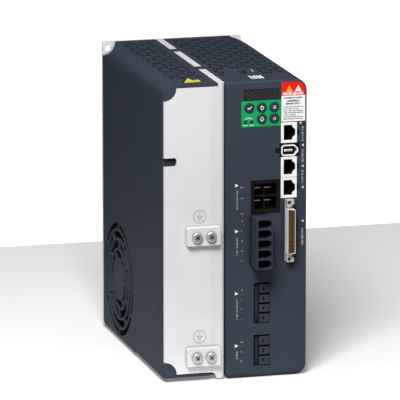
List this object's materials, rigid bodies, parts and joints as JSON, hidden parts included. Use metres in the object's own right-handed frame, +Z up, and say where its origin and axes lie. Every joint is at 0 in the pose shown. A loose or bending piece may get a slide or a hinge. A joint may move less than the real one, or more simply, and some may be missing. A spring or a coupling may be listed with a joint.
{
  "type": "servo drive",
  "caption": "Wall-mounted servo drive: cast heat sink with fan duct and earth pads, electronics casing with keypad, display, jacks and pluggable power terminals.",
  "frame": {"origin": "on the rear mounting plane, in the middle of the mounting plate's bottom edge", "axes": "+Z up, front face towards -Y, +X to the right seen from the front; the wall is at Y = 0"},
  "size_m": [0.117, 0.212, 0.2382],
  "materials": {
    "cast_aluminium": "sand-textured die casting, satin",
    "slate_plastic": "finely spark-eroded moulded plastic",
    "black_plastic": "moulded insulating plastic",
    "dark_plug_plastic": "moulded terminal plastic, slightly glossy",
    "fan_plastic": "glass-filled plastic",
    "plated_steel": "zinc-nickel plated",
    "nickel_shield": "bright nickel-plated sheet",
    "gold_contacts": "gold-flashed contacts",
    "green_overlay": "printed keypad film",
    "button_plastic": "moulded key cap",
    "smoked_window": "smoked acrylic",
    "display_grey": "display housing",
    "lamp_green": "tinted light pipe",
    "danger_print": "laminated printed film",
    "yellow_print": "laminated printed film",
    "white_core": "white moulded core",
    "brown_insert": "high-temperature insert moulding",
    "circuit_board": "solder-masked laminate",
    "copper_coil": "enamelled winding",
    "module_case": "potted module case",
    "capacitor_sleeve": "shrink sleeve"
  },
  "bodies": {
    "drive": {"heat_sink": "cast_aluminium", "duct_cover": "slate_plastic", "fan_cover": "slate_plastic", "front_cover": "slate_plastic", "side_casing": "slate_plastic", "bridge_clips": "slate_plastic", "serial_jack_insert": "black_plastic", "bus_in_jack_insert": "black_plastic", "bus_out_jack_insert": "black_plastic", "encoder_housing": "black_plastic", "dc_bus_socket": "black_plastic", "mains_header": "dark_plug_plastic", "motor_header": "dark_plug_plastic", "brake_header": "dark_plug_plastic", "fan_frame": "fan_plastic", "earth_screws": "plated_steel", "fan_bearings": "plated_steel", "fan_screws": "plated_steel", "key_switches": "plated_steel", "io_latches": "plated_steel", "dc_bus_blades": "plated_steel", "header_pins": "plated_steel", "board_standoffs": "plated_steel", "board_screws": "plated_steel", "serial_jack_shield": "nickel_shield", "bus_in_jack_shield": "nickel_shield", "bus_out_jack_shield": "nickel_shield", "encoder_shell": "nickel_shield", "io_shell": "nickel_shield", "jack_contacts": "gold_contacts", "io_pins": "gold_contacts", "keypad_overlay": "green_overlay", "display_window": "smoked_window", "display_module": "display_grey", "status_lights": "lamp_green", "danger_label": "danger_print", "top_label": "yellow_print", "encoder_tongue": "white_core", "io_insert": "brown_insert", "hmi_board": "circuit_board", "control_board": "circuit_board", "power_board": "circuit_board", "fan_stator": "copper_coil", "filter_choke": "copper_coil", "power_module": "module_case", "dc_capacitors": "capacitor_sleeve"},
    "fan": {"fan_rotor": "fan_plastic", "fan_shaft": "plated_steel"},
    "ok_key": {"ok_button": "button_plastic"},
    "up_key": {"up_button": "button_plastic"},
    "mode_key": {"mode_button": "button_plastic"},
    "down_key": {"down_button": "button_plastic"},
    "set_key": {"set_button": "button_plastic"},
    "mains_connector": {"mains_plug": "dark_plug_plastic", "mains_clamps": "plated_steel"},
    "motor_connector": {"motor_plug": "dark_plug_plastic", "motor_clamps": "plated_steel"},
    "brake_connector": {"brake_plug": "dark_plug_plastic", "brake_clamps": "plated_steel"}
  },
  "joints": [
    {"name": "fan_spin", "type": "hinge", "parent": "drive", "child": "fan", "pos_m": [-0.0445, -0.0536, 0.0517], "axis": [1, 0, 0], "continuous": true},
    {"name": "ok_press", "type": "slide", "parent": "drive", "child": "ok_key", "axis": [0, 1, 0], "range_m": [0, 0.0006], "stiffness_N_per_m": 800},
    {"name": "up_press", "type": "slide", "parent": "drive", "child": "up_key", "axis": [0, 1, 0], "range_m": [0, 0.0006], "stiffness_N_per_m": 800},
    {"name": "mode_press", "type": "slide", "parent": "drive", "child": "mode_key", "axis": [0, 1, 0], "range_m": [0, 0.0006], "stiffness_N_per_m": 800},
    {"name": "down_press", "type": "slide", "parent": "drive", "child": "down_key", "axis": [0, 1, 0], "range_m": [0, 0.0006], "stiffness_N_per_m": 800},
    {"name": "set_press", "type": "slide", "parent": "drive", "child": "set_key", "axis": [0, 1, 0], "range_m": [0, 0.0006], "stiffness_N_per_m": 800},
    {"name": "mains_pull", "type": "slide", "parent": "drive", "child": "mains_connector", "axis": [0, -1, 0], "range_m": [0, 0.012]},
    {"name": "motor_pull", "type": "slide", "parent": "drive", "child": "motor_connector", "axis": [0, -1, 0], "range_m": [0, 0.012]},
    {"name": "brake_pull", "type": "slide", "parent": "drive", "child": "brake_connector", "axis": [0, -1, 0], "range_m": [0, 0.012]}
  ]
}
